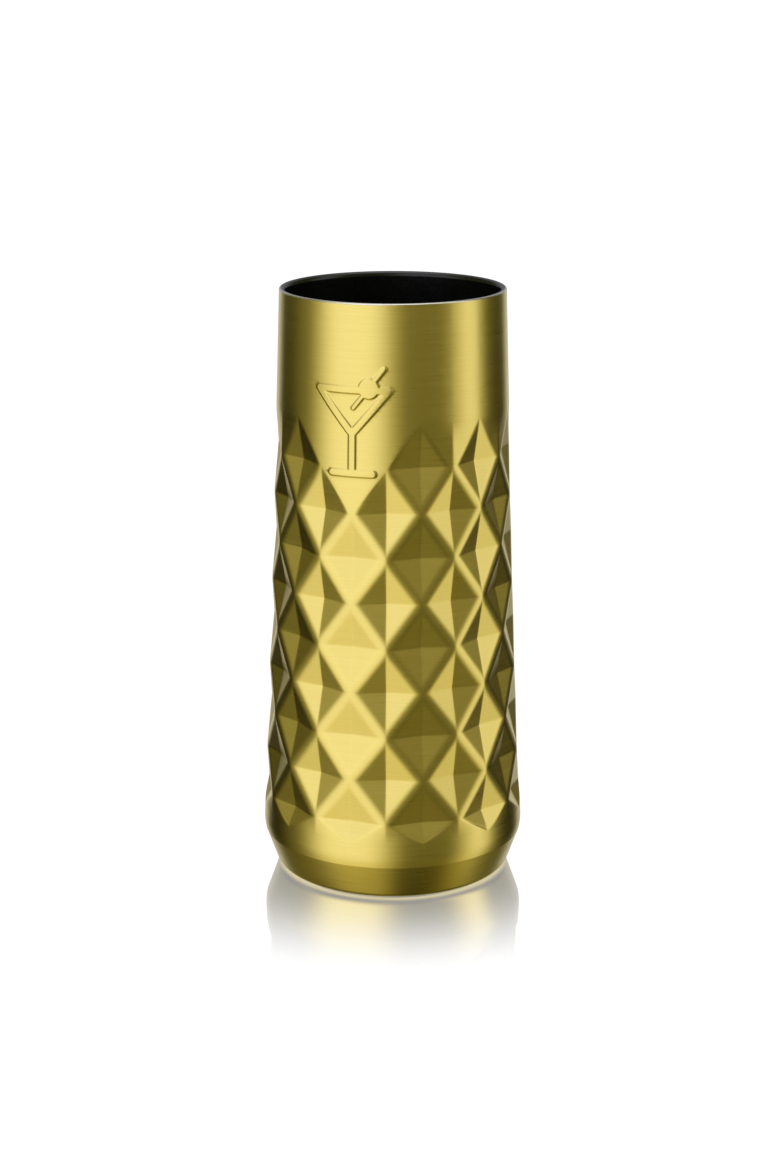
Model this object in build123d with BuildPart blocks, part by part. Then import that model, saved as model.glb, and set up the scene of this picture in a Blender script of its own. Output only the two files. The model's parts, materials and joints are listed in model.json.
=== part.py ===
"""Double-walled, vacuum-insulated cocktail shaker body with a faceted outer shell.

Millimetres. +Z is up, the vessel axis is Z, the foot pad's underside is at Z = 0 and the
emblem faces -Y. Every piece is a separate solid, written as one STEP file per piece.
"""

import os
from math import asin, atan, cos, radians, sin, sqrt

from build123d import *

# Outer shell
FOOT_PROUD = 0.6
SHELL_TOP = 205.0
SHELL_SHEET = 0.6
MOUTH_RADIUS = 38.45
MIDDLE_RADIUS = 41.8
SHOULDER_RADIUS = 45.8
SHOULDER_HEIGHT = 15.0
SHOULDER_FILLET = 10.0
BASE_RADIUS = 40.7
BASE_FILLET = 3.0
MIDDLE_HEIGHT = (SHELL_TOP + SHOULDER_HEIGHT) / 2

# Pressed lozenges, in rows that are staggered by half a pitch
LOZENGES_AROUND = 11
LOZENGE_ROWS = 9
ROW_SPACING = 15.4
FIRST_ROW_HEIGHT = 28.2
LOZENGE_DEPTH = 2.7
CUTTER_REACH = 2 * LOZENGE_DEPTH
LOZENGE_HALF_ANGLE = 12.6
LOZENGE_HALF_HEIGHT = 12.0
FIRST_ROW_LOWER_HALF = 7.0
FIRST_LOZENGE_ANGLE = -90.0

# Embossed emblem: a stemmed glass with an olive on a pick
EMBLEM_HEIGHT = 164.5
EMBLEM_RELIEF = 0.45
EMBLEM_STROKE = 2.4
GLASS_HALF_WIDTH = 14.5
GLASS_RIM = 14.0
GLASS_POINT = -3.5
STEM_FOOT = -16.0
GLASS_FOOT_HALF_WIDTH = 8.0
OLIVE_RADIUS = 3.4
PICK_LENGTH = 18.0
PICK_WIDTH = 1.4
PICK_TILT = 52.0
PICK_CENTRE = (5.4, 13.4)

# Inner liner
LINER_SHEET = 0.5
LINER_RADIUS = 35.4
LINER_FLOOR = 12.5
LINER_CORNER = 9.0
LINER_JOINT = 24.0
SEAT_RADIUS = 36.3
SEAT_BOTTOM = 191.5
SEAT_TOP = 203.5
SEAT_STEP = 2.0
LIP_FLARE = 0.8
LINER_OUTSIDE = LINER_RADIUS + LINER_SHEET
LINER_WELD_RADIUS = 0.4
LIP_BEAD_HEIGHT = 0.6

# Radiation foil in the vacuum gap
FOIL_GAP = 0.1
FOIL_THICKNESS = 0.1
FOIL_BOTTOM = 26.0
FOIL_TOP = 187.0

# Inner base plate that closes the vacuum gap, with its evacuation hole
PLATE_HEIGHT = 8.0
PLATE_SHEET = 0.6
PLATE_RADIUS = 42.3
PLATE_RECESS_RADIUS = 6.0
PLATE_RECESS_DEPTH = 1.6
EVACUATION_RADIUS = 1.0
PLATE_WELD_LEG = 0.9
GLASS_BEAD_RADIUS = 4.5
GLASS_BEAD_HEIGHT = 1.1

# Getter on the plate
GETTER_OFFSET = 22.0
GETTER_CUP_RADIUS = 6.0
GETTER_CUP_HEIGHT = 2.0
GETTER_CUP_SHEET = 0.3
GETTER_PELLET_HEIGHT = 1.2

# Outer base cover, adhesive disc and foot pad
COVER_RADIUS = 37.5
COVER_SHEET = 0.6
COVER_RECESS_RADIUS = 30.4
COVER_RECESS_DEPTH = 1.0
COVER_WELD_RADIUS = 0.5
PAD_RADIUS = 30.0
PAD_EDGE_FILLET = 0.4
PAD_GROOVE_RADII = (10.0, 18.0, 26.0)
PAD_GROOVE_WIDTH = 0.8
PAD_GROOVE_DEPTH = 0.3
ADHESIVE_RADIUS = 29.4
ADHESIVE_THICKNESS = 0.15


def wall_arc_centre():
    """Centre and radius of the shallow arc that the outer wall follows in section."""
    chord_r = SHOULDER_RADIUS - MOUTH_RADIUS
    chord_z = SHELL_TOP - SHOULDER_HEIGHT
    chord = sqrt(chord_r**2 + chord_z**2)
    middle_r = (SHOULDER_RADIUS + MOUTH_RADIUS) / 2
    sagitta = (middle_r - MIDDLE_RADIUS) * chord_z / chord
    radius = (chord**2 / 4 + sagitta**2) / (2 * sagitta)
    reach = radius - sagitta
    centre_r = middle_r + reach * chord_z / chord
    centre_z = MIDDLE_HEIGHT + reach * chord_r / chord
    return centre_r, centre_z, radius


def wall_radius(height):
    """Outer radius of the tapered wall at a height."""
    centre_r, centre_z, radius = wall_arc_centre()
    return centre_r - sqrt(radius**2 - (height - centre_z) ** 2)


def wall_lean(height):
    """Angle in radians by which the wall leans inward at a height."""
    centre_r, centre_z, radius = wall_arc_centre()
    return asin((centre_z - height) / radius)


def bevel_inner_radius(height):
    """Inner radius of the cone between the foot and the shoulder at a height."""
    slope = (SHOULDER_RADIUS - BASE_RADIUS) / (SHOULDER_HEIGHT - FOOT_PROUD)
    rise = height - FOOT_PROUD - SHELL_SHEET
    return BASE_RADIUS - SHELL_SHEET + rise * slope


def round_corner(section, corner, radius):
    """Fillet the vertex of a section at a (radius, height) point."""
    nearest = section.vertices().sort_by_distance((corner[0], corner[1], 0))[0]
    fillet(nearest, radius)


def wall_form(inset):
    """Solid of the tapered vessel, inset from the outside of the shell."""
    foot = (BASE_RADIUS - inset, FOOT_PROUD + inset)
    shoulder = (SHOULDER_RADIUS - inset, SHOULDER_HEIGHT)
    mouth = (MOUTH_RADIUS - inset, SHELL_TOP)
    with BuildPart() as form:
        with BuildSketch(Plane.XZ) as section:
            with BuildLine():
                ThreePointArc(mouth, (MIDDLE_RADIUS - inset, MIDDLE_HEIGHT), shoulder)
                Polyline(shoulder, foot, (0, foot[1]), (0, SHELL_TOP), mouth)
            make_face()
            round_corner(section, shoulder, SHOULDER_FILLET - inset)
            round_corner(section, foot, BASE_FILLET - inset)
        revolve(axis=Axis.Z)
    return form.part


def lozenge_rows():
    """Height and start angle of every row of lozenges."""
    half_pitch = 180 / LOZENGES_AROUND
    for row in range(LOZENGE_ROWS):
        yield row, FIRST_ROW_HEIGHT + row * ROW_SPACING, FIRST_LOZENGE_ANGLE + row % 2 * half_pitch


def lozenge_cutter(height, inset, lower_half):
    """Four-facet pyramid whose point is pressed into the wall, pointing at the axis."""
    radius = wall_radius(height)
    point = radius - LOZENGE_DEPTH
    side_rise = radius * cos(radians(LOZENGE_HALF_ANGLE)) - point
    side_slope = side_rise / (radius * sin(radians(LOZENGE_HALF_ANGLE)))
    half_width = CUTTER_REACH / side_slope
    upper = CUTTER_REACH * LOZENGE_HALF_HEIGHT / LOZENGE_DEPTH
    lower = CUTTER_REACH * lower_half / LOZENGE_DEPTH
    lean = wall_lean(height)
    outward = (cos(lean), 0, sin(lean))
    tip = (point - inset, 0, height)
    face_centre = tuple(t + CUTTER_REACH * o for t, o in zip(tip, outward))
    face = Plane(origin=face_centre, x_dir=(0, 1, 0), z_dir=outward)
    with BuildPart() as cutter:
        with BuildSketch(face) as opening:
            Polygon((half_width, 0), (0, upper), (-half_width, 0), (0, -lower), align=None)
        loft(sections=[opening.sketch.face(), Vertex(*tip)], ruled=True)
    return cutter.part


def pressed_form(inset):
    """The vessel's solid, with the lozenges pressed in and one left out for the emblem."""
    pitch = 360 / LOZENGES_AROUND
    facet_slope = atan(LOZENGE_DEPTH / LOZENGE_HALF_HEIGHT)
    with BuildPart() as form:
        add(wall_form(inset))
        for row, height, start in lozenge_rows():
            skipped = 1 if row == LOZENGE_ROWS - 1 else 0
            lower_half = FIRST_ROW_LOWER_HALF if row == 0 else LOZENGE_HALF_HEIGHT
            cutter = lozenge_cutter(height, inset / cos(facet_slope), lower_half)
            count = LOZENGES_AROUND - skipped
            span = (count - 1) * pitch
            with PolarLocations(0, count, start + skipped * pitch, span, endpoint=True):
                add(cutter, mode=Mode.SUBTRACT)
    return form.part


def bowl_triangle(stroke):
    """Corners of the glass's bowl, a triangle with its point down, inset by a stroke."""
    slope = (GLASS_RIM - GLASS_POINT) / GLASS_HALF_WIDTH
    half_width = GLASS_HALF_WIDTH - stroke * (1 + sqrt(1 + slope**2)) / slope
    rim = GLASS_RIM - stroke
    return (-half_width, rim), (half_width, rim), (0, rim - half_width * slope)


def emblem_relief():
    """Raised glass with an olive on a pick, standing proud of the wall on the -Y side."""
    face = Plane(origin=(0, 0, EMBLEM_HEIGHT), x_dir=(1, 0, 0), z_dir=(0, -1, 0))
    stem_height = GLASS_POINT - STEM_FOOT + EMBLEM_STROKE
    with BuildPart() as relief:
        with BuildSketch(face):
            Polygon(*bowl_triangle(0), align=None)
            Polygon(*bowl_triangle(EMBLEM_STROKE), align=None, mode=Mode.SUBTRACT)
            with Locations((0, STEM_FOOT)):
                Rectangle(EMBLEM_STROKE, stem_height, align=(Align.CENTER, Align.MIN))
                Rectangle(2 * GLASS_FOOT_HALF_WIDTH, EMBLEM_STROKE, align=(Align.CENTER, Align.MIN))
            with Locations(Location(PICK_CENTRE, PICK_TILT)):
                Rectangle(PICK_LENGTH, PICK_WIDTH)
                Circle(OLIVE_RADIUS)
        extrude(amount=SHOULDER_RADIUS)
        add(wall_form(-EMBLEM_RELIEF), mode=Mode.INTERSECT)
        add(wall_form(SHELL_SHEET / 2), mode=Mode.SUBTRACT)
    return relief.part


def revolved(label, points, fillets=()):
    """Ring or disc turned about Z from a closed outline of (radius, height) points."""
    with BuildPart() as turned:
        with BuildSketch(Plane.XZ) as section:
            with BuildLine():
                Polyline(*points, close=True)
            make_face()
            for corner, radius in fillets:
                round_corner(section, corner, radius)
        revolve(axis=Axis.Z)
    turned.part.label = label
    return turned.part


def bead_ring(label, centre, half_width, half_height, start_angle):
    """Weld bead of half-elliptical section along a seam; it bulges up (0) or outward (-90)."""
    with BuildPart() as ring:
        with BuildSketch(Plane.XZ):
            with BuildLine():
                bulge = EllipticalCenterArc(
                    centre, half_width, half_height, start_angle, arc_size=180
                )
                Line(bulge @ 1, bulge @ 0)
            make_face()
        revolve(axis=Axis.Z)
    ring.part.label = label
    return ring.part


def make_outer_shell():
    """Pressed sheet shell with its emblem, open at the mouth and inside the turned-in foot."""
    with BuildPart() as outer_shell:
        add(pressed_form(0))
        add(emblem_relief())
        add(pressed_form(SHELL_SHEET), mode=Mode.SUBTRACT)
        with Locations((0, 0, FOOT_PROUD)):
            Cylinder(COVER_RADIUS, 2 * SHELL_SHEET, mode=Mode.SUBTRACT)
    outer_shell.part.label = "outer_shell"
    return outer_shell.part


def make_liner_wall():
    """Wall of the inner cup, stepped out to a lid seat and rolled out to the lip."""
    shell_inside = MOUTH_RADIUS - SHELL_SHEET
    flare = shell_inside - SEAT_RADIUS - LINER_SHEET
    seat_outside = SEAT_RADIUS + LINER_SHEET
    step_bottom = SEAT_BOTTOM - SEAT_STEP
    flare_bottom = SHELL_TOP - LIP_FLARE
    return revolved(
        "liner_wall",
        [
            (LINER_RADIUS, LINER_JOINT),
            (LINER_OUTSIDE, LINER_JOINT),
            (LINER_OUTSIDE, step_bottom),
            (seat_outside, SEAT_BOTTOM),
            (seat_outside, SEAT_TOP),
            (shell_inside, flare_bottom),
            (shell_inside, SHELL_TOP),
            (SEAT_RADIUS + flare, SHELL_TOP),
            (SEAT_RADIUS + flare, flare_bottom),
            (SEAT_RADIUS, SEAT_TOP),
            (SEAT_RADIUS, SEAT_BOTTOM),
            (LINER_RADIUS, step_bottom),
        ],
    )


def make_liner_bottom():
    """Drawn bottom of the inner cup."""
    underside = LINER_FLOOR - LINER_SHEET
    inner_corner = (LINER_RADIUS, LINER_FLOOR)
    outer_corner = (LINER_OUTSIDE, underside)
    return revolved(
        "liner_bottom",
        [
            (0, underside),
            outer_corner,
            (LINER_OUTSIDE, LINER_JOINT),
            (LINER_RADIUS, LINER_JOINT),
            inner_corner,
            (0, LINER_FLOOR),
        ],
        [(inner_corner, LINER_CORNER), (outer_corner, LINER_CORNER + LINER_SHEET)],
    )


def make_mouth_weld_bead():
    """Rounded bead that joins the two walls along the lip."""
    inner = MOUTH_RADIUS - SHELL_SHEET - LINER_SHEET
    middle = (inner + MOUTH_RADIUS) / 2
    half_width = (MOUTH_RADIUS - inner) / 2
    return bead_ring("mouth_weld_bead", (middle, SHELL_TOP), half_width, LIP_BEAD_HEIGHT, 0)


def make_liner_bottom_weld():
    """Bead outside the seam between the liner's wall and its bottom."""
    radius = LINER_WELD_RADIUS
    return bead_ring("liner_bottom_weld", (LINER_OUTSIDE, LINER_JOINT), radius, radius, -90)


def make_base_cover_weld():
    """Bead inside the seam between the base cover and the shell's turned-in foot."""
    radius = COVER_WELD_RADIUS
    seam = (COVER_RADIUS, FOOT_PROUD + COVER_SHEET)
    return bead_ring("base_cover_weld", seam, radius, radius, 0)


def make_radiation_foil():
    """Foil sleeve around the liner that holds back radiated heat."""
    inner = LINER_OUTSIDE + FOIL_GAP
    outer = inner + FOIL_THICKNESS
    outline = [(inner, FOIL_BOTTOM), (outer, FOIL_BOTTOM), (outer, FOIL_TOP), (inner, FOIL_TOP)]
    return revolved("radiation_foil", outline)


def make_vacuum_base_plate():
    """Plate that closes the vacuum gap, with a raised recess for the sealed hole."""
    top = PLATE_HEIGHT + PLATE_SHEET
    recess_floor = PLATE_HEIGHT + PLATE_RECESS_DEPTH
    recess_wall = PLATE_RECESS_RADIUS + PLATE_SHEET
    return revolved(
        "vacuum_base_plate",
        [
            (EVACUATION_RADIUS, recess_floor),
            (PLATE_RECESS_RADIUS, recess_floor),
            (PLATE_RECESS_RADIUS, PLATE_HEIGHT),
            (PLATE_RADIUS, PLATE_HEIGHT),
            (PLATE_RADIUS, top),
            (recess_wall, top),
            (recess_wall, recess_floor + PLATE_SHEET),
            (EVACUATION_RADIUS, recess_floor + PLATE_SHEET),
        ],
    )


def make_vacuum_plate_weld():
    """Corner bead under the plate, between its rim and the cone of the shell."""
    low = PLATE_HEIGHT - PLATE_WELD_LEG
    outline = [
        (PLATE_RADIUS - PLATE_WELD_LEG, PLATE_HEIGHT),
        (bevel_inner_radius(low), low),
        (bevel_inner_radius(PLATE_HEIGHT), PLATE_HEIGHT),
    ]
    return revolved("vacuum_plate_weld", outline)


def make_sealing_glass_bead():
    """Glass that melts over the evacuation hole and seals it from below."""
    recess_floor = PLATE_HEIGHT + PLATE_RECESS_DEPTH
    with BuildPart() as glass_bead:
        with BuildSketch(Plane.XY.offset(recess_floor)):
            Circle(GLASS_BEAD_RADIUS)
        extrude(amount=-GLASS_BEAD_HEIGHT)
        fillet(glass_bead.edges().sort_by(Axis.Z)[0], GLASS_BEAD_HEIGHT / 2)
        with BuildSketch(Plane.XY.offset(recess_floor)):
            Circle(EVACUATION_RADIUS)
        extrude(amount=PLATE_SHEET)
    glass_bead.part.label = "sealing_glass_bead"
    return glass_bead.part


def make_getter_cup():
    """Small open cup on the plate that holds the getter."""
    with BuildPart() as getter_cup:
        with BuildSketch(Plane((GETTER_OFFSET, 0, PLATE_HEIGHT + PLATE_SHEET))):
            Circle(GETTER_CUP_RADIUS)
        extrude(amount=GETTER_CUP_HEIGHT)
        mouth = getter_cup.faces().sort_by(Axis.Z)[-1]
        offset(amount=-GETTER_CUP_SHEET, openings=mouth)
    getter_cup.part.label = "getter_cup"
    return getter_cup.part


def make_getter_pellet():
    """Getter that takes up the last gas in the vacuum gap."""
    floor = PLATE_HEIGHT + PLATE_SHEET + GETTER_CUP_SHEET
    with BuildPart() as getter_pellet:
        with BuildSketch(Plane((GETTER_OFFSET, 0, floor))):
            Circle(GETTER_CUP_RADIUS - GETTER_CUP_SHEET)
        extrude(amount=GETTER_PELLET_HEIGHT)
    getter_pellet.part.label = "getter_pellet"
    return getter_pellet.part


def make_outer_base_cover():
    """Cover across the foot, recessed for the pad."""
    top = FOOT_PROUD + COVER_SHEET
    recess_floor = FOOT_PROUD + COVER_RECESS_DEPTH
    recess_wall = COVER_RECESS_RADIUS + COVER_SHEET
    return revolved(
        "outer_base_cover",
        [
            (0, recess_floor),
            (COVER_RECESS_RADIUS, recess_floor),
            (COVER_RECESS_RADIUS, FOOT_PROUD),
            (COVER_RADIUS, FOOT_PROUD),
            (COVER_RADIUS, top),
            (recess_wall, top),
            (recess_wall, recess_floor + COVER_SHEET),
            (0, recess_floor + COVER_SHEET),
        ],
    )


def make_foot_pad_adhesive():
    """Adhesive disc between the cover and the pad."""
    recess_floor = FOOT_PROUD + COVER_RECESS_DEPTH
    with BuildPart() as adhesive:
        with BuildSketch(Plane.XY.offset(recess_floor)):
            Circle(ADHESIVE_RADIUS)
        extrude(amount=-ADHESIVE_THICKNESS)
    adhesive.part.label = "foot_pad_adhesive"
    return adhesive.part


def make_foot_pad():
    """Soft pad with three rings, which the vessel stands on."""
    pad_top = FOOT_PROUD + COVER_RECESS_DEPTH - ADHESIVE_THICKNESS
    with BuildPart() as foot_pad:
        with BuildSketch():
            Circle(PAD_RADIUS)
        extrude(amount=pad_top)
        fillet(foot_pad.edges().sort_by(Axis.Z)[0], PAD_EDGE_FILLET)
        with BuildSketch():
            for groove in PAD_GROOVE_RADII:
                Circle(groove + PAD_GROOVE_WIDTH / 2)
                Circle(groove - PAD_GROOVE_WIDTH / 2, mode=Mode.SUBTRACT)
        extrude(amount=PAD_GROOVE_DEPTH, mode=Mode.SUBTRACT)
    foot_pad.part.label = "foot_pad"
    return foot_pad.part


MAKERS = (
    make_outer_shell,
    make_liner_wall,
    make_liner_bottom,
    make_liner_bottom_weld,
    make_mouth_weld_bead,
    make_radiation_foil,
    make_vacuum_base_plate,
    make_vacuum_plate_weld,
    make_sealing_glass_bead,
    make_getter_cup,
    make_getter_pellet,
    make_outer_base_cover,
    make_base_cover_weld,
    make_foot_pad_adhesive,
    make_foot_pad,
)

os.makedirs("parts", exist_ok=True)
for make in MAKERS:
    piece = make()
    export_step(piece, f"parts/{piece.label}.step")
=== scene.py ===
"""Looks of the faceted double-walled shaker body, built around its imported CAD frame."""

import json
import math

import bmesh
import bpy
import numpy as np
from mathutils import Matrix, Vector, geometry


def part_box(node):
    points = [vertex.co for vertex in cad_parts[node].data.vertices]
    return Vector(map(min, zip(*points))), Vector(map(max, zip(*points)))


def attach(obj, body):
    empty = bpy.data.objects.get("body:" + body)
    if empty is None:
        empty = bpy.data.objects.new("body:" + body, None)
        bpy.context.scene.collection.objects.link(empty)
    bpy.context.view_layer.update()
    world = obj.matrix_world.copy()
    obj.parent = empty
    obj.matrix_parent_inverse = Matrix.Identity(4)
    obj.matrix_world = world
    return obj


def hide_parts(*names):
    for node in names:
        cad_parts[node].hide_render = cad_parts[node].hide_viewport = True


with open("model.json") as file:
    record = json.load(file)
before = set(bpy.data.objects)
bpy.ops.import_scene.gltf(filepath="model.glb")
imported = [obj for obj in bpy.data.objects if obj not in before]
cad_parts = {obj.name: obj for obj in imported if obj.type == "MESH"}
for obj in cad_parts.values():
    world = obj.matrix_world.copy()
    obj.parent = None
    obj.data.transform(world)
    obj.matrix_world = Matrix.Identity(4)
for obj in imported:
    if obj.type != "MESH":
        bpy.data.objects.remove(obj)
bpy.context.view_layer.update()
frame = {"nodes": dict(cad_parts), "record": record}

# Lengths below are in millimetres; Blender's meshes are in metres
MM = 0.001


def node_box(node):
    """Lowest and highest corners of a CAD node, in millimetres."""
    low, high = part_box(node)
    return low / MM, high / MM


def half_width(node):
    """Half the width of a CAD node, in millimetres."""
    low, high = node_box(node)
    return (high.x - low.x) / 2


# Sizes read from the frame
SHELL_LOW, SHELL_HIGH = node_box("outer_shell")
FOOT_Z = SHELL_LOW.z
TOP_Z = SHELL_HIGH.z
MOUTH_R = half_width("mouth_weld_bead")
COVER_R = half_width("outer_base_cover")
SHELL_INNER_MOUTH_R = half_width("liner_wall")
SHELL_SHEET = MOUTH_R - SHELL_INNER_MOUTH_R
LINER_R = half_width("liner_bottom")
MOUNTS = {mount["name"]: mount for mount in frame["record"]["mounts"]}
SEAT_R = MOUNTS["mouth_seat"]["dims"]["r_mm"]
SEAT_Z = MOUNTS["mouth_seat"]["pos_m"][2] / MM
SEAT_LENGTH = MOUNTS["mouth_seat"]["dims"]["length_mm"]

# Outer wall: each corner of the outline stands outside the rounding that replaces it
SHOULDER_CORNER_OUT = 0.08
SHOULDER_R = half_width("outer_shell") + SHOULDER_CORNER_OUT
SHOULDER_Z = FOOT_Z + 15.6
SHOULDER_FILLET = 18.0
CREASE_R = SHOULDER_R - 0.45
CREASE_Z = FOOT_Z + 12.9
CREASE_FILLET = 1.2
FOOT_TURN_IN = 3.2
BASE_R = COVER_R + FOOT_TURN_IN
BASE_FILLET = 3.0

# How far the middle of the tapered wall stands inside a straight taper
WALL_WAIST = 0.325

# Pressed lozenges: a diamond lattice whose nodes lie on 22 upright lines
AROUND = 11
PITCH = 360 / AROUND
HALF_PITCH = PITCH / 2
FIRST_ROW_Z = FOOT_Z + 28.2
ROW_SPACING = 15.33
PRESSED_ROWS = 9
TOP_ROW = 12
BOTTOM_ROW_Z = FOOT_Z + 21.2
EMBLEM_ANGLE = -90.0
LOZENGE_SHARE = 0.83
LOZENGE_TALL_SHARE = 0.88
LOZENGE_DEPTH = 2.75
OUTLINE_FILLET = 0.36
LATTICE_FILLET = 0.15
VALLEY_RADIUS = 0.10
FOOT_SOFTNESS = 0.4
FOOT_SOFT_HEIGHT = 7.0
CELL_EDGE_FADE = 0.88

# The strips between lozenges run out into the round wall over these heights
STRIP_FADE_BELOW = 9.0
STRIP_FADE_ABOVE = 1.0
STRIP_FADE_FOOT = 4.0

# Mesh of the shell
SHARP_ANGLE = 50.0
WELD_REACH = 0.004
SLIVER = 0.0005

# Emblem: a stemmed glass with an olive on a pick, in raised flat shapes
EMBLEM_Z = FOOT_Z + 163.9
EMBLEM_RELIEF = 0.42
EMBLEM_EDGE = 0.5
GLASS_HALF_WIDTH = 14.5
GLASS_RIM = 14.0
GLASS_POINT = -3.5
GLASS_FOOT = -16.0
GLASS_FOOT_HALF_WIDTH = 8.0
STROKE_HALF = 1.2
PICK_HALF_LENGTH = 9.0
PICK_HALF = 0.7
PICK_TILT = 52.0
OLIVE_CENTRE = (5.4, 13.4)
OLIVE_RADIUS = 3.4

# Mesh of the emblem: fine beside its edges, coarse elsewhere
EDGE_PITCH = 0.30
EDGE_REACH = 0.6
PLAIN_PITCH = 0.9
PLAIN_GAP = 0.75
BOUNDARY_GAP = 0.5

# Liner, with its lid seat and rolled lip
LINER_SHEET = 0.5
LINER_CORNER = 9.0
SEAT_STEP = 2.0
LIP_CREST_R = MOUTH_R - 0.75
LIP_ROUND = 1.7
LIP_COATED_R = MOUTH_R - 0.58
LIP_COATING_BLEND = 0.06
LIP_FLARE_START = 1.5
LIP_FLARE_END = 0.8

# Base cover and foot pad
COVER_SHEET = 0.6
PAD_CLEARANCE = 0.4
PAD_EDGE = 0.4
PAD_GROOVES = (26.0, 18.0, 10.0)
GROOVE_HALF_WIDTH = 0.4
GROOVE_DEPTH = 0.3
GROOVE_EDGE = 0.1

# Facets round a turned piece
SEGMENTS = 192
LIP_SEGMENTS = 384

# Camera, as a distance from the vessel's axis and a height above its foot
CAMERA_AZIMUTH = 19.5
CAMERA_DISTANCE = 793.6
CAMERA_HEIGHT = 322.0
CAMERA_TILT = 15.554
CAMERA_YAW = 0.07
LENS = 72.6
SENSOR = 36.0


# ---------------------------------------------------------------- outlines

def arc_through(first, middle, last):
    """Centre and radius of the circle through three points."""
    a, b, c = (np.array(p, float) for p in (first, middle, last))
    rows = np.array([b - a, c - a])
    centre = np.linalg.solve(rows, [(b @ b - a @ a) / 2, (c @ c - a @ a) / 2])
    return centre, np.linalg.norm(a - centre)


WALL_MIDDLE = ((SHOULDER_R + MOUTH_R) / 2 - WALL_WAIST, (SHOULDER_Z + TOP_Z) / 2)
WALL_CENTRE, WALL_ARC = arc_through((MOUTH_R, TOP_Z), WALL_MIDDLE, (SHOULDER_R, SHOULDER_Z))


def wall_radius(z):
    """Radius of the plain tapered wall at a height."""
    return WALL_CENTRE[0] - np.sqrt(WALL_ARC**2 - (z - WALL_CENTRE[1]) ** 2)


def wall_slope(z):
    """How fast the wall's radius grows with height; negative where it narrows."""
    return (z - WALL_CENTRE[1]) / np.sqrt(WALL_ARC**2 - (z - WALL_CENTRE[1]) ** 2)


def rounded(corners, steps=7):
    """Points of an outline; a corner is (r, z) or (r, z, fillet radius)."""
    points = []
    for i, corner in enumerate(corners):
        here = np.array(corner[:2], float)
        fillet = corner[2] if len(corner) > 2 else 0.0
        if fillet == 0.0:
            points.append(here)
            continue
        back = np.array(corners[i - 1][:2], float) - here
        ahead = np.array(corners[(i + 1) % len(corners)][:2], float) - here
        back /= np.linalg.norm(back)
        ahead /= np.linalg.norm(ahead)
        half_angle = math.acos(np.clip(back @ ahead, -1, 1)) / 2
        start = here + back * fillet / math.tan(half_angle)
        centre = here + (back + ahead) / np.linalg.norm(back + ahead) * fillet / math.sin(half_angle)
        turn = math.pi - 2 * half_angle
        side = np.sign(back[0] * ahead[1] - back[1] * ahead[0])
        x, y = start - centre
        for step in range(steps + 1):
            angle = side * -turn * step / steps
            c, s = math.cos(angle), math.sin(angle)
            points.append(centre + [x * c - y * s, x * s + y * c])
    return points


# ---------------------------------------------------------------- meshes

def new_piece(name, points, faces, material, node):
    """A smooth-shaded mesh from points in millimetres; it stands for a CAD node."""
    mesh = bpy.data.meshes.new(name)
    mesh.from_pydata([tuple(p) for p in np.asarray(points) * MM], [], faces)
    mesh.validate()
    mesh.polygons.foreach_set("use_smooth", [True] * len(mesh.polygons))
    mesh.materials.append(material)
    piece = bpy.data.objects.new(name, mesh)
    bpy.context.scene.collection.objects.link(piece)
    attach(piece, "root")
    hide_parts(node)
    return piece


def lathe(name, outline, material, node, segments=SEGMENTS):
    """A closed outline of (r, z) points turned about Z."""
    points, rows = [], []
    angles = np.radians(np.arange(segments) * 360 / segments)
    for r, z in outline:
        if r < 1e-6:
            rows.append([len(points)] * segments)
            points.append((0.0, 0.0, z))
            continue
        rows.append(list(range(len(points), len(points) + segments)))
        points.extend((r * math.cos(angle), r * math.sin(angle), z) for angle in angles)
    faces = []
    for row, after in zip(rows, rows[1:] + rows[:1]):
        if row[0] == row[1] and after[0] == after[1]:
            continue
        for i in range(segments):
            j = (i + 1) % segments
            corners = [row[i], row[j], after[j], after[i]]
            faces.append(list(dict.fromkeys(corners)))
    piece = new_piece(name, points, faces, material, node)
    point_outward(piece.data)


def weld(mesh, reach):
    """Joins points closer than reach millimetres, then turns the faces outward."""
    work = bmesh.new()
    work.from_mesh(mesh)
    bmesh.ops.remove_doubles(work, verts=work.verts, dist=reach * MM)
    work.to_mesh(mesh)
    work.free()
    point_outward(mesh)


def point_outward(mesh):
    """Turns every face of a closed mesh so that its normal points out."""
    work = bmesh.new()
    work.from_mesh(mesh)
    bmesh.ops.recalc_face_normals(work, faces=work.faces)
    work.to_mesh(mesh)
    work.free()


# ---------------------------------------------------------------- the pressed shell

def soft_min(a, b, reach):
    """The smaller of two surfaces, rounded where they cross."""
    near = np.maximum(reach - np.abs(a - b), 0) / reach
    return np.minimum(a, b) - near**2 * reach / 4


def smooth_step(low, high, value):
    """0 below low, 1 above high, and an even curve between."""
    t = np.clip((value - low) / (high - low), 0, 1)
    return t * t * (3 - 2 * t)


def row_height(row):
    """Height of a lattice row; the end rows are squeezed to meet the plain stretches."""
    last = PRESSED_ROWS
    last_z = FIRST_ROW_Z + last * ROW_SPACING
    upper = last_z + (row - last) * (TOP_Z - last_z) / (TOP_ROW - last)
    lower = FIRST_ROW_Z + row * (FIRST_ROW_Z - BOTTOM_ROW_Z)
    return np.where(row > last, upper, np.where(row < 0, lower, FIRST_ROW_Z + row * ROW_SPACING))


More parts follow.
